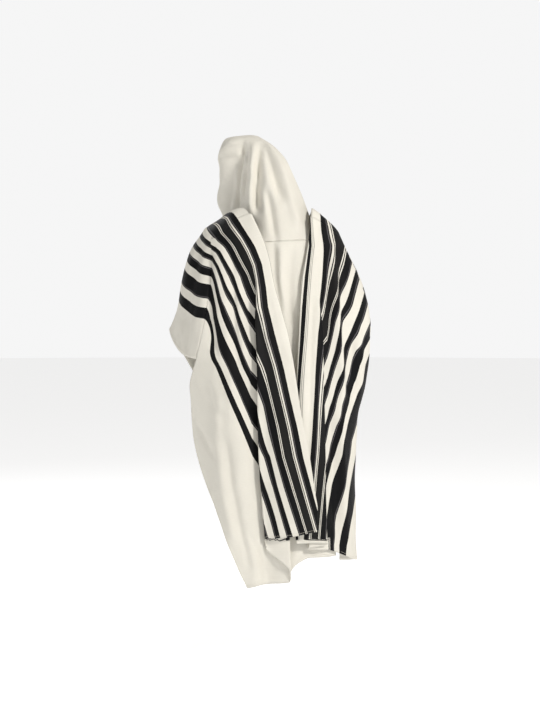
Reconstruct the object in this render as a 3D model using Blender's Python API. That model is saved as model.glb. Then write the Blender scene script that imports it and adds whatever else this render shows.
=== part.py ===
"""Tallit prayer shawl, worn over the head and both shoulders, as hollow cloth walls.

Metres, Z up, the open front faces -Y and the shawl's left is +X.
The origin is under the crown of the hood, where the shawl is carried.
Tables give each section in the garment's own directions: across (to the shawl's
right and a little back), behind (away from the open front) and height.
"""
import math

import bmesh
import bpy
import numpy as np

# Named sizes, in metres
WALL = 0.0022          # cloth wall, hems and double weave included
TURN = math.radians(17.0)   # how far the worn shawl is turned on the frame's axes
FOLD_RADIUS = 0.0055   # half the gap between the layers of the left hanging fold
RIGHT_RADIUS = 0.0036  # the same on the right
TUCK = 0.026           # how far an inner fold is turned under
SEAM = 0.0003          # gap between neighbouring pieces

CREAM = (0.80, 0.775, 0.70, 1.0)

# The body form that the cloth hangs round, a row for each height:
# height, centre across, centre behind, half width, depth at the back, depth in front
FORM = (
    (0.02, 0.080, 0.050, 0.080, 0.070, 0.070),
    (-0.240, 0.086, 0.060, 0.170, 0.100, 0.090),
    (-0.270, 0.084, 0.060, 0.186, 0.110, 0.098),
    (-0.305, 0.080, 0.062, 0.206, 0.121, 0.110),
    (-0.350, 0.074, 0.064, 0.234, 0.134, 0.122),
    (-0.400, 0.072, 0.066, 0.258, 0.142, 0.130),
    (-0.460, 0.076, 0.068, 0.284, 0.147, 0.138),
    (-0.550, 0.082, 0.070, 0.312, 0.152, 0.150),
    (-0.620, 0.080, 0.070, 0.322, 0.155, 0.155),
    (-0.720, 0.084, 0.070, 0.315, 0.158, 0.155),
    (-0.820, 0.090, 0.070, 0.292, 0.160, 0.150),
    (-0.920, 0.088, 0.070, 0.268, 0.160, 0.145),
    (-1.100, 0.092, 0.070, 0.256, 0.158, 0.140),
    (-1.300, 0.098, 0.072, 0.252, 0.156, 0.135),
    (-1.500, 0.102, 0.074, 0.255, 0.156, 0.130),
)

# Left drop behind the shoulder, a row for each height: height, its outer edge,
# the hanging fold's edge, the fold's lap, the inner folded edge (all across)
LEFT_DROP = (
    (-0.240, -0.117, -0.062, 0.000, -0.010),
    (-0.285, -0.118, -0.050, 0.000, 0.010),
    (-0.330, -0.117, -0.034, 0.000, 0.030),
    (-0.400, -0.118, -0.010, 0.000, 0.053),
    (-0.490, -0.124, 0.012, 0.012, 0.068),
    (-0.560, -0.134, 0.017, 0.022, 0.086),
    (-0.650, -0.146, 0.022, 0.042, 0.110),
    (-0.744, -0.166, 0.026, 0.060, 0.126),
    (-0.800, -0.179, 0.028, 0.066, 0.134),
    (-0.900, -0.171, 0.028, 0.070, 0.146),
    (-1.000, -0.160, 0.031, 0.070, 0.166),
    (-1.100, -0.132, 0.036, 0.070, 0.179),
    (-1.200, -0.096, 0.044, 0.068, 0.194),
    (-1.310, -0.062, 0.053, 0.064, 0.190),
    (-1.420, -0.018, 0.060, 0.060, 0.196),
    (-1.480, 0.012, 0.064, 0.060, 0.200),
)

# Right drop: height, how far it goes round past the limb, the first fold's edge,
# its lap, the inner folded edge
RIGHT_DROP = (
    (-0.240, 0.004, 0.214, 0.000, 0.186),
    (-0.280, 0.004, 0.216, 0.000, 0.190),
    (-0.330, 0.004, 0.218, 0.000, 0.190),
    (-0.400, 0.004, 0.220, 0.000, 0.179),
    (-0.460, 0.004, 0.221, 0.000, 0.166),
    (-0.550, 0.004, 0.222, 0.006, 0.159),
    (-0.650, 0.010, 0.223, 0.014, 0.154),
    (-0.750, 0.030, 0.224, 0.026, 0.149),
    (-0.850, 0.060, 0.226, 0.036, 0.145),
    (-0.950, 0.085, 0.228, 0.044, 0.142),
    (-1.100, 0.100, 0.230, 0.050, 0.140),
    (-1.250, 0.100, 0.233, 0.052, 0.143),
    (-1.310, 0.100, 0.234, 0.052, 0.147),
    (-1.400, 0.100, 0.235, 0.052, 0.150),
)

# Centre of the back: height, its left and right edges under the drops
BACK = (
    (-0.350, 0.004, 0.224),
    (-0.500, 0.030, 0.200),
    (-0.750, 0.095, 0.188),
    (-1.000, 0.100, 0.225),
    (-1.400, 0.105, 0.290),
)

# Over the arm to the front edge, a row for each line parallel to the end of the
# shawl: front edge, middle of the front, over the arm (across, behind, height)
LEFT_FRONT = (
    ((0.010, -0.085, -1.040), (-0.130, -0.075, -0.880), (-0.262, 0.028, -0.638)),
    ((0.004, -0.088, -0.930), (-0.130, -0.082, -0.770), (-0.240, 0.056, -0.585)),
    ((-0.002, -0.090, -0.830), (-0.125, -0.086, -0.670), (-0.226, 0.072, -0.535)),
    ((-0.008, -0.090, -0.730), (-0.122, -0.084, -0.585), (-0.214, 0.074, -0.470)),
    ((-0.014, -0.088, -0.640), (-0.114, -0.074, -0.495), (-0.196, 0.070, -0.400)),
    ((-0.022, -0.082, -0.560), (-0.106, -0.058, -0.425), (-0.168, 0.062, -0.342)),
    ((-0.032, -0.078, -0.490), (-0.106, -0.044, -0.372), (-0.136, 0.052, -0.304)),
    ((-0.044, -0.074, -0.425), (-0.106, -0.030, -0.336), (-0.112, 0.046, -0.290)),
    ((-0.064, -0.066, -0.365), (-0.104, -0.018, -0.312), (-0.092, 0.056, -0.280)),
)

RIGHT_FRONT = (
    ((0.086, -0.112, -1.040), (0.230, -0.160, -0.900), (0.376, -0.120, -0.740)),
    ((0.088, -0.114, -0.930), (0.240, -0.162, -0.790), (0.382, -0.128, -0.660)),
    ((0.088, -0.116, -0.830), (0.244, -0.158, -0.690), (0.380, -0.126, -0.590)),
    ((0.088, -0.116, -0.730), (0.240, -0.148, -0.600), (0.364, -0.112, -0.510)),
    ((0.086, -0.114, -0.640), (0.226, -0.132, -0.510), (0.336, -0.088, -0.430)),
    ((0.082, -0.112, -0.560), (0.208, -0.114, -0.430), (0.298, -0.064, -0.355)),
    ((0.076, -0.116, -0.490), (0.188, -0.104, -0.370), (0.258, -0.044, -0.306)),
    ((0.066, -0.124, -0.425), (0.162, -0.106, -0.330), (0.222, -0.040, -0.278)),
    ((0.052, -0.132, -0.365), (0.128, -0.108, -0.304), (0.192, -0.040, -0.262)),
)

# The hood, a row for each arch from the face edge back to the nape:
# left foot, top, right foot (across, behind, height), fullness left and right
HOOD = (
    ((-0.066, -0.040, -0.345), (-0.062, -0.078, -0.004), (0.040, -0.120, -0.345), 0.58, 0.80),
    ((-0.074, -0.012, -0.345), (-0.044, -0.044, 0.000), (0.084, -0.100, -0.335), 0.60, 0.90),
    ((-0.072, 0.004, -0.346), (-0.006, -0.004, 0.001), (0.124, -0.072, -0.322), 0.66, 1.05),
    ((-0.058, 0.028, -0.348), (0.030, 0.034, -0.012), (0.158, -0.040, -0.312), 0.74, 1.15),
    ((-0.038, 0.058, -0.351), (0.064, 0.074, -0.046), (0.184, -0.002, -0.308), 0.92, 1.20),
    ((-0.016, 0.092, -0.354), (0.084, 0.104, -0.120), (0.200, 0.042, -0.312), 1.05, 1.10),
    ((0.000, 0.128, -0.356), (0.100, 0.142, -0.235), (0.210, 0.084, -0.326), 1.05, 1.00),
    ((0.004, 0.164, -0.358), (0.118, 0.186, -0.352), (0.216, 0.120, -0.345), 1.00, 1.00),
)

# Falls of the hood's side, as (place round the arch, depth, width)
HOOD_FALLS = (
    (0.14, -0.007, 0.030),
    (0.24, -0.012, 0.034),
    (0.34, -0.009, 0.030),
    (0.50, -0.006, 0.034),
)


def smooth(x):
    """Ease from 0 to 1."""
    x = min(max(x, 0.0), 1.0)
    return x * x * (3 - 2 * x)


def row_at(table, height):
    """Every column of a table at one height, eased between its rows."""
    heights = [-row[0] for row in table]
    return [float(np.interp(-height, heights, [row[k] for row in table])) for k in range(1, len(table[0]))]


def spline(knots, t):
    """A smooth curve through the knots, t from 0 to 1."""
    knots = [np.array(k, float) for k in knots]
    x = t * (len(knots) - 1)
    i = min(int(x), len(knots) - 2)
    f = x - i
    a, b = knots[i], knots[i + 1]
    before = knots[i - 1] if i > 0 else 2 * a - b
    after = knots[i + 2] if i + 2 < len(knots) else 2 * b - a
    m, n = (b - before) / 2, (after - a) / 2
    f2, f3 = f * f, f * f * f
    return (2 * f3 - 3 * f2 + 1) * a + (f3 - 2 * f2 + f) * m + (3 * f2 - 2 * f3) * b + (f3 - f2) * n


def form_ring(height):
    """Half of the body form at a height, as points and angles from the left limb to the right."""
    centre, behind, wide, back, front = row_at(FORM, height)
    angle = np.linspace(-0.75 * math.pi, 1.05 * math.pi, 361) + math.pi / 2
    x = -np.cos(angle) * wide
    y = np.sin(angle) * np.where(np.sin(angle) > 0, back, front)
    across = centre + x * math.cos(TURN) + y * math.sin(TURN)
    away = behind - x * math.sin(TURN) + y * math.cos(TURN)
    return across, away


def form_path(height):
    """The form's section as arc length, points and outward normals."""
    across, away = form_ring(height)
    step = np.hypot(np.diff(across), np.diff(away))
    length = np.concatenate([[0.0], np.cumsum(step)])
    da, db = np.gradient(across), np.gradient(away)
    size = np.hypot(da, db)
    return length, across, away, -db / size, da / size


def length_at(path, across):
    """Arc length where the back of the form is at this place across."""
    length, a, b, na, nb = path
    low, high = int(np.argmin(a)), int(np.argmax(a))
    return float(np.interp(across, a[low:high + 1], length[low:high + 1]))


def on_path(path, length, out):
    """The point of the section at an arc length, moved out."""
    s, a, b, na, nb = path
    return (
        float(np.interp(length, s, a) + out * np.interp(length, s, na)),
        float(np.interp(length, s, b) + out * np.interp(length, s, nb)),
    )


def lap_path(lap, radius):
    """A hanging fold from its hidden layer to its front, as (along, out)."""
    pts = [(0.0, 0.0), (lap * 0.5, 0.0), (lap, 0.0)]
    for k in range(1, 5):
        a = math.pi * k / 4
        pts.append((lap + radius * math.sin(a), radius * (1 - math.cos(a))))
    pts.append((lap * 0.5, 2 * radius))
    for k in range(0, 5):
        a = math.pi * k / 4
        pts.append((-radius * math.sin(a), 2 * radius + radius * (1 - math.cos(a))))
    return pts


def tuck_path(tuck, radius):
    """The inner edge, turned under, as (along, out)."""
    pts = []
    for k in range(0, 5):
        a = math.pi * k / 4
        pts.append((radius * math.sin(a), -radius * (1 - math.cos(a))))
    pts.append((-tuck * 0.5, -2 * radius))
    pts.append((-tuck, -2 * radius))
    return pts


def drop_columns(n_out, n_in):
    """The columns of a drop: outer sheet, hanging fold, top sheet, tucked edge."""
    out = [("out", k / n_out) for k in range(n_out)]
    out += [("lap", k) for k in range(len(lap_path(1, 1)))]
    out += [("top", k / n_in) for k in range(1, n_in + 1)]
    out += [("tuck", k) for k in range(1, len(tuck_path(1, 1)))]
    return out


def drop_point(side, column, height, sink=0.0):
    """One point of a drop's middle surface, or a little under it."""
    kind, place = column
    path = form_path(height)
    if side > 0:
        outer, edge, lap, inner = row_at(LEFT_DROP, height)
        start = length_at(path, outer)
        fold = length_at(path, edge)
        end = length_at(path, inner)
        sign = 1
        base, lift = 0.010 + 0.010 * smooth((-height - 0.6) / 0.5), 0.012
        radius = FOLD_RADIUS
        opened = smooth((-height - 0.42) / 0.20)
    else:
        past, edge, lap, inner = row_at(RIGHT_DROP, height)
        start = length_at(path, 9.0) + past
        fold = length_at(path, edge)
        end = length_at(path, inner)
        sign = -1
        base, lift = 0.004, 0.010
        radius = RIGHT_RADIUS
        opened = smooth((-height - 0.46) / 0.20)
    top = base + opened * 4 * radius + (1 - opened) * lift
    span = 0.024
    if kind == "out":
        reach = fold - sign * span
        return on_path(path, start + (reach - start) * place, base)
    if kind == "lap":
        pts = lap_path(max(lap, 0.004), radius)
        along, out = pts[place]
        flat = -span + 2 * span * place / (len(pts) - 1)
        if place == 0:
            along = -span
        rise = base + (top - base) * smooth(place / (len(pts) - 1))
        along = opened * along + (1 - opened) * flat
        out = opened * (base + out) + (1 - opened) * rise
        return on_path(path, fold + sign * along, out)
    if kind == "top":
        begin = fold + sign * (1 - opened) * span
        return on_path(path, begin + (end - begin) * place, top)
    along, out = tuck_path(TUCK, radius)[place]
    return on_path(path, end + sign * along, top + out - sink)


def falls(side, point, height):
    """Soft vertical falls of a drop, outward."""
    across = point[0]
    deep = smooth((-height - 0.34) / 0.25)
    if side > 0:
        hills = ((-0.070, 0.10, 0.012, 0.030), (-0.020, 0.02, -0.006, 0.022), (-0.110, 0.06, 0.006, 0.026))
    else:
        hills = ((0.252, 0.03, -0.004, 0.016), (0.286, 0.05, 0.009, 0.016), (0.318, 0.06, -0.007, 0.018))
    out = 0.0
    for centre, drift, size, width in hills:
        place = centre + drift * (-height - 0.6)
        out += size * math.exp(-((across - place) / width) ** 2)
    return out * deep


# Top edge of each drop as (across, height), and its hem as (place from the outer edge, height)
LEFT_TOP = ((-0.118, -0.345), (-0.100, -0.328), (-0.080, -0.311), (-0.060, -0.296), (-0.035, -0.281), (0.0, -0.268))
LEFT_HEM = (
    (0.00, -1.447), (0.24, -1.437), (0.33, -1.428), (0.42, -1.400), (0.48, -1.345),
    (0.55, -1.297), (0.72, -1.283), (0.79, -1.272), (1.00, -1.268),
)
RIGHT_TOP = ((0.180, -0.272), (0.205, -0.276), (0.230, -0.288), (0.250, -0.304), (0.270, -0.324), (0.290, -0.338))
RIGHT_HEM = ((0.00, -1.408), (0.14, -1.385), (0.27, -1.335), (0.50, -1.322), (0.70, -1.310), (1.00, -1.306))


def drop_grid(side, n_out, n_in, rows):
    """The middle surface of one drop, columns from the outer edge inward."""
    columns = drop_columns(n_out, n_in)
    top_table, hem_table = (LEFT_TOP, LEFT_HEM) if side > 0 else (RIGHT_TOP, RIGHT_HEM)
    grid = []
    for c, column in enumerate(columns):
        f = c / (len(columns) - 1)
        across = drop_point(side, column, -0.29)[0]
        top = float(np.interp(across, [r[0] for r in top_table], [r[1] for r in top_table]))
        hem = float(np.interp(f, [r[0] for r in hem_table], [r[1] for r in hem_table]))
        line = []
        for r in range(rows + 1):
            height = top + (hem - top) * (r / rows)
            a, b = drop_point(side, column, height)
            out = falls(side, (a, b), height)
            line.append((a, b + out, height))
        grid.append(line)
    return np.array(grid)


def arm_curve(front, middle, over, join, away, w):
    """From the front edge over the arm to the join, which it meets in line."""
    pace = float(np.linalg.norm(join - over))
    points = (front, middle, over, join)
    speeds = (middle - front, (over - front) / 2, (join - middle) / 2, -away * pace)
    i = min(int(w * 3), 2)
    f = w * 3 - i
    a, b, m, n = points[i], points[i + 1], speeds[i], speeds[i + 1]
    f2, f3 = f * f, f * f * f
    return (2 * f3 - 3 * f2 + 1) * a + (f3 - 2 * f2 + f) * m + (3 * f2 - 2 * f3) * b + (f3 - f2) * n


def join_line(side, drop, lowest):
    """The drop's outer edge from the sleeve's end up, then its top edge inward."""
    columns = drop.shape[0] - len(tuck_path(1, 1)) + 1
    edge = [drop[0][r] for r in range(drop.shape[1]) if drop[0][r][2] > lowest]
    top = [drop[c][0] for c in range(1, columns)]
    line = edge[::-1] + top
    beside = [drop[1][r] for r in range(drop.shape[1]) if drop[0][r][2] > lowest]
    below = [drop[c][1] for c in range(1, columns)]
    inner = beside[::-1] + below
    away = [(p - q) / np.linalg.norm(p - q) for p, q in zip(line, inner)]
    eased = []
    for k in range(len(away)):
        near = sum(away[max(0, k - 4):k + 5])
        eased.append(near / np.linalg.norm(near))
    return [(p + d * 4 * SEAM, d) for p, d in zip(line, eased)]


def front_grid(side, drop, table, lowest, rows):
    """From the front edge over the arm to the join, lines parallel to the end."""
    line = join_line(side, drop, lowest)
    step = [0.0] + [float(np.linalg.norm(b[0] - a[0])) for a, b in zip(line, line[1:])]
    places = np.cumsum(step) / sum(step)
    grid = []
    for u, (join, away) in zip(places, line):
        front, middle, over = (spline([row[k] for row in table], float(u)) for k in range(3))
        pts = []
        for r in range(rows + 1):
            w = r / rows
            p = arm_curve(front, middle, over, join, away, w)
            wave = 0.010 * math.sin(math.pi * w) * math.sin(6.0 * math.pi * u + 2.0 * w)
            pts.append(tuple(p + np.array([0.0, -wave * (1 - w), 0.0])))
        grid.append(pts)
    return np.array(grid)


def hood_grid(columns, rows):
    """The hood's middle surface, arches from the face edge to the nape."""
    grid = []
    for r in range(rows + 1):
        b = r / rows
        foot_l, top, foot_r = (spline([row[k] for row in HOOD], b) for k in range(3))
        full_l = float(spline([(row[3],) for row in HOOD], b)[0])
        full_r = float(spline([(row[4],) for row in HOOD], b)[0])
        middle, half = (foot_l + foot_r) / 2, (foot_r - foot_l) / 2
        line = []
        for c in range(columns + 1):
            turn = math.pi * (c / columns - 0.5)
            power = full_l if turn < 0 else full_r
            sway = math.copysign(abs(math.sin(turn)) ** power, turn)
            lift = max(math.cos(turn), 0.0) ** power
            p = middle + half * sway + (top - middle) * lift
            place = c / columns
            low = math.sin(math.pi * min(b * 1.15, 1.0)) ** 0.7
            out = sum(d * math.exp(-((place - m) / w) ** 2) for m, d, w in HOOD_FALLS)
            side_out = np.array([-0.5, 0.86, 0.0])
            p = p + side_out * out * low * (1 - lift ** 3)
            flare = 0.020 * math.exp(-((p[2] + 0.205) / 0.060) ** 2) * smooth(-turn) * smooth((0.7 - b) / 0.5)
            p = p - np.array([flare, 0.0, 0.0])
            line.append(p)
        grid.append(line)
    seam = back_grid(columns, 2)[:, 0, :] + np.array([0.0, 0.0, 5 * SEAM])
    miss = [seam[c] - grid[rows][c] for c in range(columns + 1)]
    for r in range(rows + 1):
        pull = (r / rows) ** 3
        for c in range(columns + 1):
            grid[r][c] = grid[r][c] + miss[c] * pull
    return np.array(grid)


def seat_under(side, height):
    """Where the centre of the back lies just under a drop's tucked edge."""
    a, b = drop_point(side, ("tuck", len(tuck_path(1, 1)) - 1), height, WALL + 2 * SEAM)
    return np.array([a, b + falls(side, (a, b), height)])


def back_grid(columns, rows):
    """The centre of the back between the two drops, from the nape to the hem."""
    grid = []
    for c in range(columns + 1):
        f = c / columns
        hem = -1.362 - 0.035 * math.exp(-((f - 0.05) / 0.10) ** 2)
        hem -= 0.022 * smooth((0.5 - f) / 0.4)
        line = []
        for r in range(rows + 1):
            g = r / rows
            top = -0.3525 - SEAM + 0.012 * (f - 0.5)
            height = top + (hem - top) * g
            path = form_path(height)
            left, right = row_at(BACK, height)
            start, end = length_at(path, left), length_at(path, right)
            out = -0.004 - 0.006 * g + 0.005 * math.sin(9.0 * f + 0.6) * smooth(g * 4)
            p = np.array(on_path(path, start + (end - start) * f, out))
            held = smooth((-height - 0.40) / 0.12) * smooth((0.80 + height) / 0.12)
            if f < 0.15:
                edge = np.array(on_path(path, start, out))
                p = p + (seat_under(1, height) - edge) * held * smooth(1 - f / 0.15)
            if f > 0.85:
                edge = np.array(on_path(path, end, out))
                p = p + (seat_under(-1, height) - edge) * held * smooth((f - 0.85) / 0.15)
            line.append((p[0], p[1], height))
        grid.append(line)
    return np.array(grid)


def world(p):
    """From the garment's own directions to the frame's axes."""
    a, b, h = p
    return (
        -a * math.cos(TURN) + b * math.sin(TURN),
        a * math.sin(TURN) + b * math.cos(TURN),
        h,
    )


def grid_normals(grid):
    du = np.gradient(grid, axis=0)
    dv = np.gradient(grid, axis=1)
    n = np.cross(du, dv)
    return n / np.maximum(np.linalg.norm(n, axis=2, keepdims=True), 1e-9)


def wall(name, grid, material, collection):
    """A closed wall of WALL thickness round a middle surface."""
    grid = np.array([[world(p) for p in line] for line in grid])
    n = grid_normals(grid)
    front, back = grid + n * WALL / 2, grid - n * WALL / 2
    m, k = grid.shape[0], grid.shape[1]
    verts = [tuple(p) for p in front.reshape(-1, 3)] + [tuple(p) for p in back.reshape(-1, 3)]
    size = m * k
    faces = []
    for i in range(m - 1):
        for j in range(k - 1):
            a, b, c, d = i * k + j, (i + 1) * k + j, (i + 1) * k + j + 1, i * k + j + 1
            faces.append((a, b, c))
            faces.append((a, c, d))
            faces.append((size + a, size + c, size + b))
            faces.append((size + a, size + d, size + c))
    rim = [i * k for i in range(m)] + [(m - 1) * k + j for j in range(1, k)]
    rim += [i * k + k - 1 for i in range(m - 2, -1, -1)] + [j for j in range(k - 2, 0, -1)]
    for a, b in zip(rim, rim[1:] + rim[:1]):
        faces.append((a, size + b, b))
        faces.append((a, size + a, size + b))
    mesh = bpy.data.meshes.new(name)
    mesh.from_pydata(verts, [], faces)
    mesh.validate()
    mesh.update()
    bm = bmesh.new()
    bm.from_mesh(mesh)
    bmesh.ops.recalc_face_normals(bm, faces=bm.faces)
    bm.to_mesh(mesh)
    bm.free()
    mesh.materials.append(material)
    made = bpy.data.objects.new(name, mesh)
    collection.objects.link(made)
    return made


def colour(name, value):
    material = bpy.data.materials.new(name)
    material.use_nodes = True
    shader = material.node_tree.nodes["Principled BSDF"]
    shader.inputs["Base Color"].default_value = value
    shader.inputs["Roughness"].default_value = 0.85
    return material


def build():
    for made in list(bpy.data.objects):
        bpy.data.objects.remove(made)
    collection = bpy.data.collections.new("tallit prayer shawl")
    bpy.context.scene.collection.children.link(collection)
    wool = colour("cream wool", CREAM)
    wall("hood", hood_grid(24, 18), wool, collection)
    wall("back_panel", back_grid(24, 20), wool, collection)
    left, right = drop_grid(1, 7, 5, 26), drop_grid(-1, 8, 5, 26)
    wall("left_drop", left, wool, collection)
    wall("right_drop", right, wool, collection)
    wall("left_front", front_grid(1, left, LEFT_FRONT, -0.76, 14), wool, collection)
    wall("right_front", front_grid(-1, right, RIGHT_FRONT, -0.76, 14), wool, collection)


build()
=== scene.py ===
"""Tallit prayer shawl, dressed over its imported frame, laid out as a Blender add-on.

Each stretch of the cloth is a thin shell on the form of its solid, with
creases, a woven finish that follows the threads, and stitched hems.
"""

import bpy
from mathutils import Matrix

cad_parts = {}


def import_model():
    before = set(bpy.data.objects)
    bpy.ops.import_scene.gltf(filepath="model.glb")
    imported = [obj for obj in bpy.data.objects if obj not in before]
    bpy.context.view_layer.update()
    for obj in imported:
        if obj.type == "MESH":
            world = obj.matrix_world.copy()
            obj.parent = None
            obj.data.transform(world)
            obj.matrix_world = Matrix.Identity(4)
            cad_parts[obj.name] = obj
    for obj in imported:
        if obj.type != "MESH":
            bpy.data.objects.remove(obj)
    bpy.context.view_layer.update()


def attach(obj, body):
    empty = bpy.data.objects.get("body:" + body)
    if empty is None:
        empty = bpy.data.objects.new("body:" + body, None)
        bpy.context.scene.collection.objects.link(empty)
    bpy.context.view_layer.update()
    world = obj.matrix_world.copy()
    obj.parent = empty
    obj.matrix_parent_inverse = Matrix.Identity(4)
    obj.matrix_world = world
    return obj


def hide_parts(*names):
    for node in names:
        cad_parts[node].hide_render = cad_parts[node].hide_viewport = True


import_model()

import math

import bpy
import numpy as np
from mathutils import Vector

bl_info = {
    "name": "Tallit prayer shawl",
    "version": (1, 0, 0),
    "blender": (4, 5, 0),
    "location": "View3D > Sidebar > Shawl",
    "description": "Builds a worn tallit prayer shawl as thin draped cloth",
    "category": "Add Mesh",
}

# Named sizes, in metres
WALL = 0.0022          # cloth wall, hems and double weave included
TURN = math.radians(17.0)   # how far the worn shawl is turned on the frame's axes
FOLD_RADIUS = 0.0055   # half the gap between the layers of the left hanging fold
RIGHT_RADIUS = 0.0036  # the same on the right
TUCK = 0.026           # how far an inner fold is turned under
SEAM = 0.00005         # gap between neighbouring stretches of the cloth

# Columns and rows of each stretch's solid
HOOD_SIZE = (24, 18)
BACK_SIZE = (24, 20)
LEFT_COLUMNS = (7, 5)   # outer sheet, top sheet
RIGHT_COLUMNS = (8, 5)
DROP_ROWS = 26
ARM_ROWS = 14
SLEEVE_END = -0.76      # height where the drop parts from the side stretch

# The dressed cloth
STRIPED_END = 0.64      # length of the striped part, from the end of the shawl
HEM = 0.0095            # from a hem's edge to its stitches
UNEVEN = 0.0006         # light unevenness of the cloth
BACK_AXIS = (0.08, 0.05)    # across and behind: what the folds move out from
ARM_AXIS = (0.08, 0.0)
HOOD_AXIS = (0.03, 0.02)

# The form that the cloth hangs round, a row for each height:
# height, centre across, centre behind, half width, depth at the back, depth in front
FORM = (
    (0.02, 0.080, 0.050, 0.080, 0.070, 0.070),
    (-0.240, 0.086, 0.060, 0.170, 0.100, 0.090),
    (-0.270, 0.084, 0.060, 0.186, 0.110, 0.098),
    (-0.305, 0.080, 0.062, 0.206, 0.121, 0.110),
    (-0.350, 0.074, 0.064, 0.234, 0.134, 0.122),
    (-0.400, 0.072, 0.066, 0.258, 0.142, 0.130),
    (-0.460, 0.076, 0.068, 0.284, 0.147, 0.138),
    (-0.550, 0.082, 0.070, 0.312, 0.152, 0.150),
    (-0.620, 0.080, 0.070, 0.322, 0.155, 0.155),
    (-0.720, 0.084, 0.070, 0.315, 0.158, 0.155),
    (-0.820, 0.090, 0.070, 0.292, 0.160, 0.150),
    (-0.920, 0.088, 0.070, 0.268, 0.160, 0.145),
    (-1.100, 0.092, 0.070, 0.256, 0.158, 0.140),
    (-1.300, 0.098, 0.072, 0.252, 0.156, 0.135),
    (-1.500, 0.102, 0.074, 0.255, 0.156, 0.130),
)

# Left drop, a row for each height: height, its outer edge,
# the hanging fold's edge, the fold's lap, the inner folded edge (all across)
LEFT_DROP = (
    (-0.240, -0.117, -0.062, 0.000, -0.010),
    (-0.285, -0.118, -0.050, 0.000, 0.010),
    (-0.330, -0.117, -0.034, 0.000, 0.030),
    (-0.400, -0.118, -0.010, 0.000, 0.053),
    (-0.490, -0.124, 0.012, 0.012, 0.068),
    (-0.560, -0.134, 0.017, 0.022, 0.086),
    (-0.650, -0.146, 0.022, 0.042, 0.110),
    (-0.744, -0.166, 0.026, 0.060, 0.126),
    (-0.800, -0.179, 0.028, 0.066, 0.134),
    (-0.900, -0.171, 0.028, 0.070, 0.146),
    (-1.000, -0.160, 0.031, 0.070, 0.166),
    (-1.100, -0.132, 0.036, 0.070, 0.179),
    (-1.200, -0.096, 0.044, 0.068, 0.194),
    (-1.310, -0.062, 0.053, 0.064, 0.190),
    (-1.420, -0.018, 0.060, 0.060, 0.196),
    (-1.480, 0.012, 0.064, 0.060, 0.200),
)

# Right drop: height, how far it goes round the shawl's side, the first fold's edge,
# its lap, the inner folded edge
RIGHT_DROP = (
    (-0.240, 0.004, 0.214, 0.000, 0.186),
    (-0.280, 0.004, 0.216, 0.000, 0.190),
    (-0.330, 0.004, 0.218, 0.000, 0.190),
    (-0.400, 0.004, 0.220, 0.000, 0.179),
    (-0.460, 0.004, 0.221, 0.000, 0.166),
    (-0.550, 0.004, 0.222, 0.006, 0.159),
    (-0.650, 0.010, 0.223, 0.014, 0.154),
    (-0.750, 0.030, 0.224, 0.026, 0.149),
    (-0.850, 0.060, 0.226, 0.036, 0.145),
    (-0.950, 0.085, 0.228, 0.044, 0.142),
    (-1.100, 0.100, 0.230, 0.050, 0.140),
    (-1.250, 0.100, 0.233, 0.052, 0.143),
    (-1.310, 0.100, 0.234, 0.052, 0.147),
    (-1.400, 0.100, 0.235, 0.052, 0.150),
)

# Centre of the back: height, its left and right edges under the drops
BACK = (
    (-0.350, 0.004, 0.224),
    (-0.500, 0.030, 0.200),
    (-0.750, 0.095, 0.188),
    (-1.000, 0.100, 0.225),
    (-1.400, 0.105, 0.290),
)

# Round the side to the front edge, a row for each line parallel to the end of the
# shawl: front edge, middle of the front, outermost at the side (across, behind, height)
LEFT_FRONT = (
    ((0.010, -0.085, -1.040), (-0.130, -0.075, -0.880), (-0.262, 0.028, -0.638)),
    ((0.004, -0.088, -0.930), (-0.130, -0.082, -0.770), (-0.240, 0.056, -0.585)),
    ((-0.002, -0.090, -0.830), (-0.125, -0.086, -0.670), (-0.226, 0.072, -0.535)),
    ((-0.008, -0.090, -0.730), (-0.122, -0.084, -0.585), (-0.214, 0.074, -0.470)),
    ((-0.014, -0.088, -0.640), (-0.114, -0.074, -0.495), (-0.196, 0.070, -0.400)),
    ((-0.022, -0.082, -0.560), (-0.106, -0.058, -0.425), (-0.168, 0.062, -0.342)),
    ((-0.032, -0.078, -0.490), (-0.106, -0.044, -0.372), (-0.136, 0.052, -0.304)),
    ((-0.044, -0.074, -0.425), (-0.106, -0.030, -0.336), (-0.112, 0.046, -0.290)),
    ((-0.064, -0.066, -0.365), (-0.104, -0.018, -0.312), (-0.092, 0.056, -0.280)),
)

RIGHT_FRONT = (
    ((0.086, -0.112, -1.040), (0.230, -0.160, -0.900), (0.376, -0.120, -0.740)),
    ((0.088, -0.114, -0.930), (0.240, -0.162, -0.790), (0.382, -0.128, -0.660)),
    ((0.088, -0.116, -0.830), (0.244, -0.158, -0.690), (0.380, -0.126, -0.590)),
    ((0.088, -0.116, -0.730), (0.240, -0.148, -0.600), (0.364, -0.112, -0.510)),
    ((0.086, -0.114, -0.640), (0.226, -0.132, -0.510), (0.336, -0.088, -0.430)),
    ((0.082, -0.112, -0.560), (0.208, -0.114, -0.430), (0.298, -0.064, -0.355)),
    ((0.076, -0.116, -0.490), (0.188, -0.104, -0.370), (0.258, -0.044, -0.306)),
    ((0.066, -0.124, -0.425), (0.162, -0.106, -0.330), (0.222, -0.040, -0.278)),
    ((0.052, -0.132, -0.365), (0.128, -0.108, -0.304), (0.192, -0.040, -0.262)),
)

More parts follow.
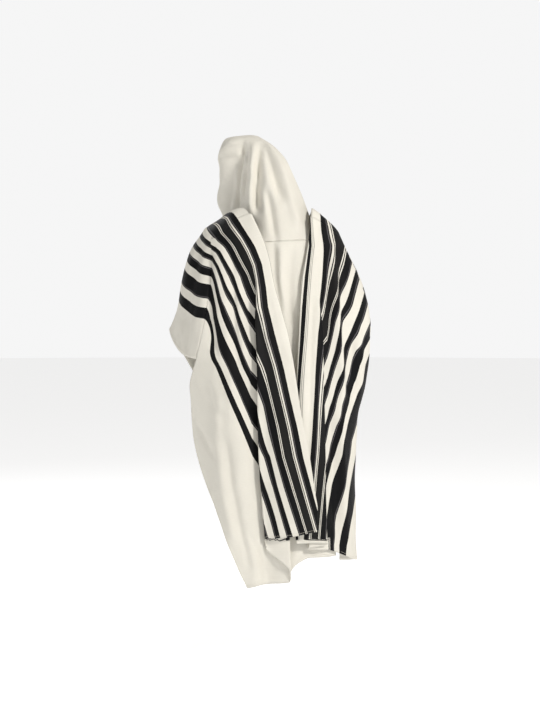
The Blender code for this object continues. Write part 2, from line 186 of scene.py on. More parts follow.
# The hood, a row for each arch from the face edge back to the nape:
# left foot, top, right foot (across, behind, height), fullness left and right
HOOD = (
    ((-0.066, -0.040, -0.345), (-0.062, -0.078, -0.004), (0.040, -0.120, -0.345), 0.58, 0.80),
    ((-0.074, -0.012, -0.345), (-0.044, -0.044, 0.000), (0.084, -0.100, -0.335), 0.60, 0.90),
    ((-0.072, 0.004, -0.346), (-0.006, -0.004, 0.001), (0.124, -0.072, -0.322), 0.66, 1.05),
    ((-0.058, 0.028, -0.348), (0.030, 0.034, -0.012), (0.158, -0.040, -0.312), 0.74, 1.15),
    ((-0.038, 0.058, -0.351), (0.064, 0.074, -0.046), (0.184, -0.002, -0.308), 0.92, 1.20),
    ((-0.016, 0.092, -0.354), (0.084, 0.104, -0.120), (0.200, 0.042, -0.312), 1.05, 1.10),
    ((0.000, 0.128, -0.356), (0.100, 0.142, -0.235), (0.210, 0.084, -0.326), 1.05, 1.00),
    ((0.004, 0.164, -0.358), (0.118, 0.186, -0.352), (0.216, 0.120, -0.345), 1.00, 1.00),
)

# Falls of the hood's side, as (place round the arch, depth, width)
HOOD_FALLS = (
    (0.14, -0.007, 0.030),
    (0.24, -0.012, 0.034),
    (0.34, -0.009, 0.030),
    (0.50, -0.006, 0.034),
)


def smooth(x):
    """Ease from 0 to 1."""
    x = min(max(x, 0.0), 1.0)
    return x * x * (3 - 2 * x)


def row_at(table, height):
    """Every column of a table at one height, eased between its rows."""
    heights = [-row[0] for row in table]
    return [float(np.interp(-height, heights, [row[k] for row in table])) for k in range(1, len(table[0]))]


def table_at(table, place):
    """The second column of a table at a place of its first."""
    return np.interp(place, [row[0] for row in table], [row[1] for row in table])


def hermite(a, b, m, n, f):
    """Between two points a and b with speeds m and n, f from 0 to 1."""
    f2, f3 = f * f, f * f * f
    return (2 * f3 - 3 * f2 + 1) * a + (f3 - 2 * f2 + f) * m + (3 * f2 - 2 * f3) * b + (f3 - f2) * n


def spline(knots, t):
    """A smooth curve through the knots, t from 0 to 1."""
    knots = [np.array(k, float) for k in knots]
    x = t * (len(knots) - 1)
    i = min(int(x), len(knots) - 2)
    f = x - i
    a, b = knots[i], knots[i + 1]
    before = knots[i - 1] if i > 0 else 2 * a - b
    after = knots[i + 2] if i + 2 < len(knots) else 2 * b - a
    return hermite(a, b, (b - before) / 2, (after - a) / 2, f)


def form_path(height):
    """The form's section at a height as arc length, points and outward normals."""
    centre, behind, wide, back, front = row_at(FORM, height)
    angle = np.linspace(-0.75 * math.pi, 1.05 * math.pi, 361) + math.pi / 2
    x = -np.cos(angle) * wide
    y = np.sin(angle) * np.where(np.sin(angle) > 0, back, front)
    across = centre + x * math.cos(TURN) + y * math.sin(TURN)
    away = behind - x * math.sin(TURN) + y * math.cos(TURN)
    step = np.hypot(np.diff(across), np.diff(away))
    length = np.concatenate([[0.0], np.cumsum(step)])
    da, db = np.gradient(across), np.gradient(away)
    size = np.hypot(da, db)
    return length, across, away, -db / size, da / size


def length_at(path, across):
    """Arc length where the back of the form is at this place across."""
    length, a = path[:2]
    low, high = int(np.argmin(a)), int(np.argmax(a))
    return float(np.interp(across, a[low:high + 1], length[low:high + 1]))


def on_path(path, length, out):
    """The point of the section at an arc length, moved out."""
    s, a, b, na, nb = path
    return (
        float(np.interp(length, s, a) + out * np.interp(length, s, na)),
        float(np.interp(length, s, b) + out * np.interp(length, s, nb)),
    )


def half_turn(radius):
    """A fold's round edge as five (along, out) points."""
    turns = [math.pi * k / 4 for k in range(5)]
    return [(radius * math.sin(a), radius * (1 - math.cos(a))) for a in turns]


def lap_path(lap, radius):
    """A hanging fold from its hidden layer to its front, as (along, out)."""
    arc = half_turn(radius)
    pts = [(0.0, 0.0), (lap * 0.5, 0.0), (lap, 0.0)]
    pts += [(lap + along, out) for along, out in arc[1:]]
    pts += [(lap * 0.5, 2 * radius)]
    return pts + [(-along, 2 * radius + out) for along, out in arc]


def tuck_path(tuck, radius):
    """The inner edge, turned under, as (along, out)."""
    pts = [(along, -out) for along, out in half_turn(radius)]
    return pts + [(-tuck * 0.5, -2 * radius), (-tuck, -2 * radius)]


def drop_columns(n_out, n_in):
    """The columns of a drop: outer sheet, hanging fold, top sheet, tucked edge."""
    out = [("out", k / n_out) for k in range(n_out)]
    out += [("lap", k) for k in range(len(lap_path(1, 1)))]
    out += [("top", k / n_in) for k in range(1, n_in + 1)]
    out += [("tuck", k) for k in range(1, len(tuck_path(1, 1)))]
    return out


def drop_point(side, column, height, sink=0.0):
    """One point of a drop's middle surface, or a little under it."""
    kind, place = column
    path = form_path(height)
    if side > 0:
        outer, edge, lap, inner = row_at(LEFT_DROP, height)
        start, sign, radius = length_at(path, outer), 1, FOLD_RADIUS
        base, lift = 0.010 + 0.010 * smooth((-height - 0.6) / 0.5), 0.012
        opened = smooth((-height - 0.42) / 0.20)
    else:
        past, edge, lap, inner = row_at(RIGHT_DROP, height)
        start, sign, radius = length_at(path, 9.0) + past, -1, RIGHT_RADIUS
        base, lift = 0.004, 0.010
        opened = smooth((-height - 0.46) / 0.20)
    fold, end = length_at(path, edge), length_at(path, inner)
    top = base + opened * 4 * radius + (1 - opened) * lift
    span = 0.024
    if kind == "out":
        reach = fold - sign * span
        return on_path(path, start + (reach - start) * place, base)
    if kind == "lap":
        pts = lap_path(max(lap, 0.004), radius)
        along, out = pts[place]
        flat = -span + 2 * span * place / (len(pts) - 1)
        if place == 0:
            along = -span
        rise = base + (top - base) * smooth(place / (len(pts) - 1))
        along = opened * along + (1 - opened) * flat
        out = opened * (base + out) + (1 - opened) * rise
        return on_path(path, fold + sign * along, out)
    if kind == "top":
        begin = fold + sign * (1 - opened) * span
        return on_path(path, begin + (end - begin) * place, top)
    along, out = tuck_path(TUCK, radius)[place]
    return on_path(path, end + sign * along, top + out - sink)


def falls(side, across, height):
    """Soft vertical falls of a drop, outward."""
    deep = smooth((-height - 0.34) / 0.25)
    if side > 0:
        hills = ((-0.070, 0.10, 0.012, 0.030), (-0.020, 0.02, -0.006, 0.022), (-0.110, 0.06, 0.006, 0.026))
    else:
        hills = ((0.252, 0.03, -0.004, 0.016), (0.286, 0.05, 0.009, 0.016), (0.318, 0.06, -0.007, 0.018))
    out = 0.0
    for centre, drift, size, width in hills:
        place = centre + drift * (-height - 0.6)
        out += size * math.exp(-((across - place) / width) ** 2)
    return out * deep


# Top edge of each drop as (across, height), and its hem as (place from the outer edge, height)
LEFT_TOP = (
    (-0.118, -0.345), (-0.100, -0.328), (-0.080, -0.311), (-0.060, -0.296), (-0.035, -0.281), (0.0, -0.268),
)
LEFT_HEM = (
    (0.00, -1.447), (0.24, -1.437), (0.33, -1.428), (0.42, -1.400), (0.48, -1.345),
    (0.55, -1.297), (0.72, -1.283), (0.79, -1.272), (1.00, -1.268),
)
RIGHT_TOP = (
    (0.180, -0.272), (0.205, -0.276), (0.230, -0.288), (0.250, -0.304), (0.270, -0.324), (0.290, -0.338),
)
RIGHT_HEM = (
    (0.00, -1.408), (0.14, -1.385), (0.27, -1.335), (0.50, -1.322), (0.70, -1.310), (1.00, -1.306),
)


def drop_grid(side, n_out, n_in, rows):
    """The middle surface of one drop, columns from the outer edge inward."""
    columns = drop_columns(n_out, n_in)
    top_table, hem_table = (LEFT_TOP, LEFT_HEM) if side > 0 else (RIGHT_TOP, RIGHT_HEM)
    grid = []
    for c, column in enumerate(columns):
        f = c / (len(columns) - 1)
        across = drop_point(side, column, -0.29)[0]
        top, hem = float(table_at(top_table, across)), float(table_at(hem_table, f))
        line = []
        for r in range(rows + 1):
            height = top + (hem - top) * (r / rows)
            a, b = drop_point(side, column, height)
            line.append((a, b + falls(side, a, height), height))
        grid.append(line)
    return np.array(grid)


def arm_curve(front, middle, over, join, away, w):
    """From the front edge round the side to the join, which it meets in line."""
    pace = float(np.linalg.norm(join - over))
    points = (front, middle, over, join)
    speeds = (middle - front, (over - front) / 2, (join - middle) / 2, -away * pace)
    i = min(int(w * 3), 2)
    return hermite(points[i], points[i + 1], speeds[i], speeds[i + 1], w * 3 - i)


def join_line(drop, lowest):
    """The drop's outer edge from the sleeve's end up, then its top edge inward."""
    columns = drop.shape[0] - len(tuck_path(1, 1)) + 1
    edge = [drop[0][r] for r in range(drop.shape[1]) if drop[0][r][2] > lowest]
    top = [drop[c][0] for c in range(1, columns)]
    line = edge[::-1] + top
    beside = [drop[1][r] for r in range(drop.shape[1]) if drop[0][r][2] > lowest]
    below = [drop[c][1] for c in range(1, columns)]
    inner = beside[::-1] + below
    away = [(p - q) / np.linalg.norm(p - q) for p, q in zip(line, inner)]
    eased = []
    for k in range(len(away)):
        near = sum(away[max(0, k - 4):k + 5])
        eased.append(near / np.linalg.norm(near))
    return [(p + d * 4 * SEAM, d) for p, d in zip(line, eased)]


def front_grid(drop, table, lowest, rows):
    """From the front edge round the side to the join, lines parallel to the end."""
    line = join_line(drop, lowest)
    step = [0.0] + [float(np.linalg.norm(b[0] - a[0])) for a, b in zip(line, line[1:])]
    places = np.cumsum(step) / sum(step)
    grid = []
    for u, (join, away) in zip(places, line):
        front, middle, over = (spline([row[k] for row in table], float(u)) for k in range(3))
        pts = []
        for r in range(rows + 1):
            w = r / rows
            p = arm_curve(front, middle, over, join, away, w)
            wave = 0.010 * math.sin(math.pi * w) * math.sin(6.0 * math.pi * u + 2.0 * w)
            pts.append(tuple(p + np.array([0.0, -wave * (1 - w), 0.0])))
        grid.append(pts)
    return np.array(grid)


def hood_grid(columns, rows):
    """The hood's middle surface, arches from the face edge to the nape."""
    grid = []
    for r in range(rows + 1):
        b = r / rows
        foot_l, top, foot_r = (spline([row[k] for row in HOOD], b) for k in range(3))
        full_l = float(spline([(row[3],) for row in HOOD], b)[0])
        full_r = float(spline([(row[4],) for row in HOOD], b)[0])
        middle, half = (foot_l + foot_r) / 2, (foot_r - foot_l) / 2
        line = []
        for c in range(columns + 1):
            turn = math.pi * (c / columns - 0.5)
            power = full_l if turn < 0 else full_r
            sway = math.copysign(abs(math.sin(turn)) ** power, turn)
            lift = max(math.cos(turn), 0.0) ** power
            p = middle + half * sway + (top - middle) * lift
            place = c / columns
            low = math.sin(math.pi * min(b * 1.15, 1.0)) ** 0.7
            out = sum(d * math.exp(-((place - m) / w) ** 2) for m, d, w in HOOD_FALLS)
            side_out = np.array([-0.5, 0.86, 0.0])
            p = p + side_out * out * low * (1 - lift ** 3)
            flare = 0.020 * math.exp(-((p[2] + 0.205) / 0.060) ** 2) * smooth(-turn)
            p = p - np.array([flare * smooth((0.7 - b) / 0.5), 0.0, 0.0])
            line.append(p)
        grid.append(line)
    seam = back_grid(columns, 2)[:, 0, :] + np.array([0.0, 0.0, 5 * SEAM])
    miss = [seam[c] - grid[rows][c] for c in range(columns + 1)]
    for r in range(rows + 1):
        pull = (r / rows) ** 3
        for c in range(columns + 1):
            grid[r][c] = grid[r][c] + miss[c] * pull
    return np.array(grid)


def seat_under(side, height):
    """Where the centre of the back lies just under a drop's tucked edge."""
    a, b = drop_point(side, ("tuck", len(tuck_path(1, 1)) - 1), height, WALL + 2 * SEAM)
    return np.array([a, b + falls(side, a, height)])


def back_grid(columns, rows):
    """The centre of the back between the two drops, from the nape to the hem."""
    grid = []
    for c in range(columns + 1):
        f = c / columns
        hem = -1.362 - 0.035 * math.exp(-((f - 0.05) / 0.10) ** 2)
        hem -= 0.022 * smooth((0.5 - f) / 0.4)
        line = []
        for r in range(rows + 1):
            g = r / rows
            top = -0.3525 - SEAM + 0.012 * (f - 0.5)
            height = top + (hem - top) * g
            path = form_path(height)
            left, right = row_at(BACK, height)
            start, end = length_at(path, left), length_at(path, right)
            out = -0.004 - 0.006 * g + 0.005 * math.sin(9.0 * f + 0.6) * smooth(g * 4)
            p = np.array(on_path(path, start + (end - start) * f, out))
            held = smooth((-height - 0.40) / 0.12) * smooth((0.80 + height) / 0.12)
            if f < 0.15:
                edge = np.array(on_path(path, start, out))
                p = p + (seat_under(1, height) - edge) * held * smooth(1 - f / 0.15)
            if f > 0.85:
                edge = np.array(on_path(path, end, out))
                p = p + (seat_under(-1, height) - edge) * held * smooth((f - 0.85) / 0.15)
            line.append((p[0], p[1], height))
        grid.append(line)
    return np.array(grid)


def world(p):
    """From the garment's own directions to the frame's axes."""
    a, b, h = p
    return (
        -a * math.cos(TURN) + b * math.sin(TURN),
        a * math.sin(TURN) + b * math.cos(TURN),
        h,
    )


def in_world(grid):
    return np.array([[world(p) for p in line] for line in grid])


def grid_normals(grid):
    du = np.gradient(grid, axis=0)
    dv = np.gradient(grid, axis=1)
    n = np.cross(du, dv)
    return n / np.maximum(np.linalg.norm(n, axis=2, keepdims=True), 1e-9)


# Where the woven lines lie: metres from the end of the shawl
LINES = {
    "end": 0.0, "s5": 0.213, "s4": 0.271, "s3": 0.327, "s2": 0.371, "s1": 0.413,
    "c": 0.456, "a": 0.537, "thin": 0.587, "fold": 0.605,
}
PIXEL = 0.00325   # metres to one step of the tables below, which read the view from behind
VIEW_HEIGHT = 720   # that view's own height, in the same steps
VIEW_MIDDLE = (270, 360)
VIEW_DISTANCE = 5.0

# Left drop: place down, then across the outer sheet each line's place. On the top
# sheet the place across is moved on by twice the fold's lap.
LEFT_LINES = ("end", "s5", "s4", "s3", "s2", "s1", "c", "a", "fold")
LEFT_WOVEN = (
    (215, 60, 125, 145, 165, 178, 192, 205, 237, 254),
    (245, 80, 145, 165, 184, 200, 212.5, 227.5, 255, 272),
    (275, 100, 166, 185, 202, 218, 231, 243.5, 267, 279),
    (305, 125, 184, 203, 221, 234.5, 243.5, 253, 278.5, 291),
    (335, 165, 200, 218, 234, 244.5, 256, 271, 300.5, 316),
    (365, 198, 217, 232, 246, 256, 268, 293, 319.5, 334),
    (395, 196, 230, 245, 259, 268, 282, 307, 332, 346),
    (425, 198, 243, 256, 272, 280, 296, 318.5, 343, 360),
    (455, 201, 255, 270, 284, 299, 313, 324, 349, 366),
    (485, 211, 269, 284, 296, 311, 320, 333, 357, 374),
    (515, 220.5, 283, 297, 308, 318, 329, 342.5, 365, 382),
    (545, 229, 296, 310, 319, 325, 338, 352, 373, 390),
    (590, 253, 314, 328, 336, 344, 352, 366, 387, 404),
)

# Right drop's outer sheet
RIGHT_LINES = ("a", "c", "s1", "s2", "s3", "s4", "s5", "end")
RIGHT_WOVEN = (
    (215, 318, 350, 370, 386, 400, 418, 436, 500),
    (245, 323.5, 353, 366, 382, 396, 412, 430, 496),
    (275, 322, 346, 357, 376, 388, 402, 420, 488),
    (305, 320, 336.5, 349, 364, 381, 394, 412, 482),
    (320, 318.5, 333, 342, 359.5, 376, 390, 408, 478),
    (335, 318, 330, 340, 353, 369, 386, 402, 472),
    (350, 317, 326, 338, 348, 359.5, 378, 395, 466),
    (365, 316, 322, 333.5, 346, 355, 371, 388, 458),
    (380, 315.5, 319, 329.5, 340.5, 353.5, 367, 381, 450),
    (395, 314.5, 317, 325.5, 336.5, 349, 362, 375, 444),
    (410, 313.5, 315.5, 321.5, 332.5, 345, 357, 371, 438),
    (425, 313, 314.5, 318, 328, 339, 352, 367, 434),
    (440, 312, 313.5, 315.5, 324, 336.5, 347, 363, 430),
    (455, 311, 312, 313.5, 319, 332.5, 346.5, 359, 424),
    (485, 308.5, 309.5, 311, 314, 321, 340.5, 354, 416),
    (515, 306, 307, 308.5, 311, 316, 332.5, 348.5, 410),
    (545, 304, 305, 306.5, 309, 313, 330, 342, 404),
)

# Right drop's top sheet
RIGHT_TOP_LINES = ("fold", "thin", "a", "c")
RIGHT_TOP_WOVEN = (
    (215, 308, 309.5, 318, 350),
    (245, 307, 310.5, 323.5, 353),
    (275, 301.5, 307, 322, 346),
    (305, 298.5, 304.5, 320, 336.5),
    (335, 297, 302.5, 318, 334),
    (365, 296, 300, 316, 332),
    (395, 294.5, 298, 314.5, 331),
    (425, 293.5, 297, 313, 332),
    (455, 293, 296, 311, 331),
    (485, 292.5, 296.5, 308.5, 328),
    (515, 292, 297, 306, 325),
    (545, 291, 298, 303, 323),
)

# Creases of each piece: height in mm (minus is a trough), half width,
# and its run as (place down, place across) points
CREASES = {
    "hood": (
        (5.0, 5.0, ((132, 254), (138, 240), (148, 229), (162, 222))),
        (-6.0, 5.0, ((152, 232), (170, 228), (195, 225), (218, 224))),
        (-8.0, 4.5, ((146, 241), (165, 237), (190, 234), (212, 235))),
        (-5.0, 4.0, ((148, 249), (170, 246), (205, 243))),
        (5.0, 4.0, ((150, 252), (180, 251), (212, 250))),
        (-6.0, 5.0, ((146, 260), (170, 258), (212, 257))),
        (-5.0, 5.0, ((146, 266), (170, 273), (198, 281))),
        (3.0, 5.0, ((160, 280), (190, 289), (225, 298))),
        (-3.5, 4.0, ((190, 268), (215, 272), (240, 276))),
    ),
    "back_panel": (
        (5.0, 4.0, ((245, 281), (280, 281), (320, 285), (350, 288))),
        (-4.0, 4.0, ((243, 274), (275, 275), (305, 281))),
        (-4.0, 5.0, ((243, 292), (280, 290), (320, 291))),
        (-5.0, 8.0, ((500, 292), (540, 290), (560, 288))),
    ),
    "left_drop": (
        (-7.0, 5.0, ((250, 208), (290, 209), (330, 212), (350, 216))),
        (-6.0, 4.5, ((285, 232), (320, 233), (365, 236))),
        (5.0, 4.5, ((280, 241), (320, 242), (370, 246))),
        (-6.0, 15.0, ((300, 262), (400, 262), (590, 267))),
        (-8.5, 17.0, ((405, 260), (490, 262), (590, 268))),
        (-3.0, 4.0, ((440, 226), (490, 232), (530, 240), (570, 250))),
        (4.0, 5.0, ((395, 218), (440, 217), (490, 222), (540, 234))),
        (-3.0, 3.0, ((425, 198), (432, 202), (440, 206), (460, 216))),
        (-3.0, 3.0, ((535, 250), (548, 256), (560, 262), (580, 269))),
        (3.5, 5.0, ((300, 262), (350, 270), (400, 278), (460, 288), (520, 296))),
        (-4.0, 5.0, ((330, 262), (370, 272), (430, 284), (500, 300))),
        (-3.5, 4.0, ((232, 222), (250, 229), (275, 234))),
        (3.0, 4.0, ((222, 232), (240, 240), (262, 247))),
        (-3.0, 5.0, ((380, 206), (400, 212), (420, 224))),
    ),
    "right_drop": (
        (4.0, 3.5, ((245, 331), (275, 334), (303, 337), (335, 339), (367, 341), (395, 343))),
        (-6.0, 3.5, ((250, 338), (280, 341), (303, 343), (335, 345), (367, 348), (395, 350))),
        (-4.0, 4.0, ((225, 322), (250, 327), (280, 329), (320, 328))),
        (-4.0, 3.0, ((340, 353), (365, 354), (390, 356))),
        (4.0, 3.5, ((330, 358), (360, 360), (390, 359))),
        (-4.0, 3.5, ((400, 329), (440, 332), (480, 334), (530, 336))),
        (4.0, 4.0, ((410, 339), (450, 342), (500, 344), (550, 347))),
        (3.0, 4.0, ((300, 306), (350, 305), (420, 303), (500, 301))),
        (-3.0, 3.0, ((300, 313), (360, 311), (430, 310), (520, 309))),
    ),
    "left_front": (
        (-5.0, 4.0, ((240, 204), (265, 196), (290, 190), (325, 184))),
        (4.0, 4.0, ((245, 196), (270, 189), (300, 184), (330, 178))),
        (-4.0, 3.5, ((290, 200), (310, 193), (330, 188), (350, 186))),
    ),
    "right_front": (
        (-4.0, 5.0, ((240, 340), (280, 352), (320, 360), (380, 358))),
        (4.0, 5.0, ((250, 330), (300, 345), (360, 350))),
    ),
}


# How much deeper than their table the folds of each piece hang
FOLDS = {
    "hood": 3.6, "back_panel": 1.5,
    "left_drop": 1.8, "right_drop": 1.6,
    "left_front": 1.6, "right_front": 1.5,
}


def refined(grid, k):
    """The same surface with k times the rows and columns, eased through its points."""
    for _ in range(2):
        grid = np.swapaxes(grid, 0, 1)
        n = len(grid)
        t = np.linspace(0, n - 1, (n - 1) * k + 1)
        i = np.minimum(t.astype(int), n - 2)
        f = (t - i)[:, None, None]
        a, b = grid[i], grid[i + 1]
        first, last = (i == 0)[:, None, None], (i == n - 2)[:, None, None]
        before = np.where(first, 2 * a - b, grid[np.maximum(i - 1, 0)])
        after = np.where(last, 2 * b - a, grid[np.minimum(i + 2, n - 1)])
        grid = hermite(a, b, (b - before) / 2, (after - a) / 2, f)
    return grid


def seen(p):
    """Places across and down, in the tables' steps, of points in the view from behind."""
    near = VIEW_DISTANCE / (VIEW_DISTANCE - (p[..., 1] - 0.07))
    x = VIEW_MIDDLE[0] + (p[..., 0] / PIXEL - 20) * near
    y = VIEW_MIDDLE[1] + (-p[..., 2] / PIXEL - 226) * near
    return x, y


def woven_at(table, names, x, y):
    """Metres from the end of the shawl at a place of the view."""
    downs = [row[0] for row in table]
    lines = [float(np.interp(y, downs, [row[k + 1] for row in table])) for k in range(len(names))]
    values = [LINES[n] for n in names]
    if x <= lines[0]:
        slope = (values[1] - values[0]) / max(lines[1] - lines[0], 1.0)
        return values[0] + slope * (x - lines[0])
    return float(np.interp(x, lines, values))


# The left drop's join with the side stretch: place down (or across, along the top)
# and metres from the end
TOP_END = 235   # where the join turns from the top down the side
LEFT_JOIN = (
    (235, 0.436), (241.5, 0.423), (248, 0.403), (253, 0.381), (260, 0.361), (266, 0.339),
    (275, 0.315), (283, 0.291), (298, 0.251), (306, 0.226), (317, 0.200), (363, 0.0),
)
LEFT_TOP_JOIN = ((207, 0.436), (215, 0.446), (237, 0.537), (243, 0.560), (250, 0.572))
# How far the hanging fold moves the top sheet's lines: place down, steps across
LEFT_MOVED = ((262, 0), (285, 5), (305, 10.5), (335, 25), (365, 36), (395, 42), (425, 46))
LEFT_INNER = 0.572   # the top sheet's inner cream border starts here
UNDER_HEM = 539      # below this place the layers under the top sheets are plain cream


def left_join(x, y):
    """Metres from the end along the left drop's join with the side stretch."""
    return np.where(y > TOP_END, table_at(LEFT_JOIN, y), table_at(LEFT_TOP_JOIN, x))


def running(line):
    """Length from the first point of a line to each of its points."""
    return np.concatenate([[0.0], np.cumsum(np.linalg.norm(np.diff(line, axis=0), axis=1))])


def drop_woven(side, grid, kinds):
    """The woven place of every point of a refined drop, smooth through its hidden layers."""
    x, y = seen(grid)
    place = np.zeros(x.shape)
    tuck = kinds.index("tuck")
    laps = [c for c, kind in enumerate(kinds) if kind == "lap"]
    first, last = laps[0], laps[-1] + 1
    # round the right side the stripes run on at their own pitch, from the outermost column
    sides = np.argmax(x[:first + 1], axis=0).astype(float)
    sides = np.convolve(np.pad(sides, 20, mode="edge"), np.ones(41) / 41, mode="valid")
    for r in range(x.shape[1]):
        for c in list(range(first + 1)) + list(range(last, tuck)):
            if side > 0:
                moved = table_at(LEFT_MOVED, y[c, r]) if c >= last else 0.0
                place[c, r] = min(woven_at(LEFT_WOVEN, LEFT_LINES, x[c, r] + moved, y[c, r]), LEFT_INNER)
            elif c >= last:
                place[c, r] = woven_at(RIGHT_TOP_WOVEN, RIGHT_TOP_LINES, x[c, r], y[c, r])
            else:
                place[c, r] = woven_at(RIGHT_WOVEN, RIGHT_LINES, x[c, r], y[c, r])
        if side < 0:
            run = running(grid[:first + 1, r])
            index = np.arange(first + 1)
            outer = place[:first + 1, r]
            at_side, run_side = np.interp(sides[r], index, outer), np.interp(sides[r], index, run)
            place[:first + 1, r] = np.where(index < sides[r], at_side - run_side + run, outer)
        run = running(grid[first:last + 1, r])
        start, end = place[first, r], place[last, r]
        place[first:last + 1, r] = start + (end - start) * run / run[-1]
        place[tuck:, r] = place[tuck - 1, r] + running(grid[tuck - 1:, r])[1:]
    under = slice(first + 1, last) if side > 0 else slice(first + 1, None)
    place[under] = np.where(y[under] > UNDER_HEM, 0.19 if side > 0 else 0.555, place[under])
    if side > 0:
        place[tuck:] = np.minimum(place[tuck:], LEFT_INNER + 0.002)
        held = (y[:1] < 363) * np.exp(-((x - x[:1]) / 10) ** 2)
        place[:first] += ((left_join(x[:1], y[:1]) - place[:1]) * held)[:first]
        held = np.exp(-((y - y[:, :1]) / 12) ** 2)
        place += (left_join(x[:, :1], np.minimum(y[:, :1], TOP_END)) - place[:, :1]) * held
    return place


def creased(name, grid, axis):
    """The listed creases and a light unevenness, moved out from an axis line."""
    x, y = seen(grid)
    out = np.zeros(x.shape)
    for size, width, run in CREASES[name]:
        downs, acrosses = [r[0] for r in run], [r[1] for r in run]
        line = np.interp(y, downs, acrosses)
        ends = np.clip((y - downs[0] + 9) / 18, 0, 1) * np.clip((downs[-1] + 9 - y) / 18, 0, 1)
        ends = ends * ends * (3 - 2 * ends)
        out += size * FOLDS[name] * 0.001 * np.exp(-((x - line) / width) ** 2) * ends
    rng = np.random.default_rng(len(name))
    for k in range(7):
        across, down = rng.uniform(0.035, 0.12), rng.uniform(0.12, 0.5)
        phase, lean = rng.uniform(0, 6.28), rng.uniform(-0.4, 0.4)
        wave = (grid[..., 0] + lean * grid[..., 2]) / across + 0.8 * np.sin(grid[..., 2] / down * 3 + phase)
        out += UNEVEN * np.sin(2 * math.pi * wave / 2 + phase + grid[..., 1] * 9)
    away = np.stack([0.4 * (grid[..., 0] - axis[0]), grid[..., 1] - axis[1], 0 * out], axis=-1)
    away /= np.maximum(np.linalg.norm(away, axis=-1, keepdims=True), 1e-6)
    return grid + away * out[..., None]


def cloth(name, node, grid, woven, along, hem, material, thick):
    """A thin closed shell round a middle surface, with a map of its threads."""
    base = in_world(grid)
    n = grid_normals(base)
    near = np.clip(1 - (hem - 0.009) / 0.004, 0, 1)[..., None]   # doubled within 9 mm of a hem
    half = thick / 2 * (1 + 0.7 * near * near * (3 - 2 * near))
    m, k = base.shape[0], base.shape[1]
    verts = np.concatenate([(base + n * half).reshape(-1, 3), (base - n * half).reshape(-1, 3)])
    size = m * k
    i, j = np.meshgrid(np.arange(m - 1), np.arange(k - 1), indexing="ij")
    a = (i * k + j).ravel()
    quads = np.stack([a, a + k, a + k + 1, a + 1], axis=1)
    faces = np.concatenate([quads, quads[:, ::-1] + size])
    rim = [c * k for c in range(m)] + [(m - 1) * k + r for r in range(1, k)]
    rim += [c * k + k - 1 for c in range(m - 2, -1, -1)] + list(range(k - 2, 0, -1))
    rim = np.array(rim)
    nxt = np.roll(rim, -1)
    faces = np.concatenate([faces, np.stack([nxt, rim, rim + size, nxt + size], axis=1)])
    mesh = bpy.data.meshes.new(name)
    mesh.from_pydata(verts.tolist(), [], faces.tolist())
    place = np.stack([woven.ravel(), along.ravel()], axis=1)
    place = np.concatenate([place, place])
    layer = mesh.uv_layers.new(name="threads")
    corner = np.zeros(len(mesh.loops), dtype=np.int32)
    mesh.loops.foreach_get("vertex_index", corner)
    layer.data.foreach_set("uv", place[corner].ravel().astype(np.float32))
    mesh.polygons.foreach_set("use_smooth", [True] * len(mesh.polygons))
    mesh.materials.append(material)
    mesh.update()
    piece = bpy.data.objects.new(name, mesh)
    bpy.context.scene.collection.objects.link(piece)
    p, q, r, t = (verts[faces[:, k]] for k in range(4))
    if np.einsum("ij,ij->i", p, np.cross(q, r) + np.cross(r, t)).sum() < 0:
        mesh.flip_normals()
    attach(piece, "root")
    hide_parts(node)
    return piece


def feed(tree, socket, value):
    """Link a socket to its input, or set it."""
    if isinstance(value, bpy.types.NodeSocket):
        tree.links.new(value, socket)
    else:
        socket.default_value = value


def node(tree, kind, **sockets):
    """One shader node with its named sockets set or linked."""
    made = tree.nodes.new(kind)
    for name, value in sockets.items():
        feed(tree, made.inputs[name], value)
    return made


def sums(tree, operation, first, second=0.0):
    """A maths node on two values or sockets."""
    made = tree.nodes.new("ShaderNodeMath")
    made.operation = operation
    feed(tree, made.inputs[0], first)
    feed(tree, made.inputs[1], second)
    return made.outputs[0]


def mixed_colour(tree, factor, first, second, blend="MIX"):
    """Two colours mixed by a factor."""
    made = tree.nodes.new("ShaderNodeMix")
    made.data_type = "RGBA"
    made.blend_type = blend
    for index, value in ((0, factor), (6, first), (7, second)):
        feed(tree, made.inputs[index], value)
    return made.outputs[2]


def shaded(colour, factor):
    """A colour made lighter or darker."""
    return (*[min(c * factor, 1.0) for c in colour[:3]], 1.0)


def bands(tree, factor, edges):
    """A stepped ramp, from (metres from the end, grey) edges."""
    ramp = tree.nodes.new("ShaderNodeValToRGB")
    ramp.color_ramp.interpolation = "CONSTANT"
    stops = ramp.color_ramp.elements
    stops.remove(stops[1])
    stops[0].position = 0.0
    stops[0].color = (edges[0][1],) * 3 + (1.0,)
    for place, grey in edges[1:]:
        stop = stops.new(place / STRIPED_END)
        stop.color = (grey, grey, grey, 1.0)
    tree.links.new(factor, ramp.inputs[0])
    return ramp.outputs[0]


# Woven stripes from the end of the shawl: first and last thread in metres, and depth
# of the black. The group nearest the middle is three stripes parted by double lines.
STRIPES = (
    (0.200, 0.226, 1.0), (0.251, 0.291, 1.0), (0.315, 0.339, 1.0), (0.361, 0.381, 1.0),
    (0.403, 0.423, 1.0), (0.444, 0.468, 1.0), (0.477, 0.504, 0.99), (0.513, 0.537, 1.0),
    (0.581, 0.593, 1.0),
)
# Fine black lines on the cream: first and last thread, and depth
FINE_LINES = (
    (0.4710, 0.4740, 1.0), (0.5070, 0.5100, 1.0), (0.572, 0.5735, 0.5),
    (0.5765, 0.578, 0.5), (0.596, 0.5975, 0.5), (0.600, 0.6015, 0.5),
)
PIN = (0.0035, 0.0048)   # a pinstripe's two sides, in from its stripe's edge


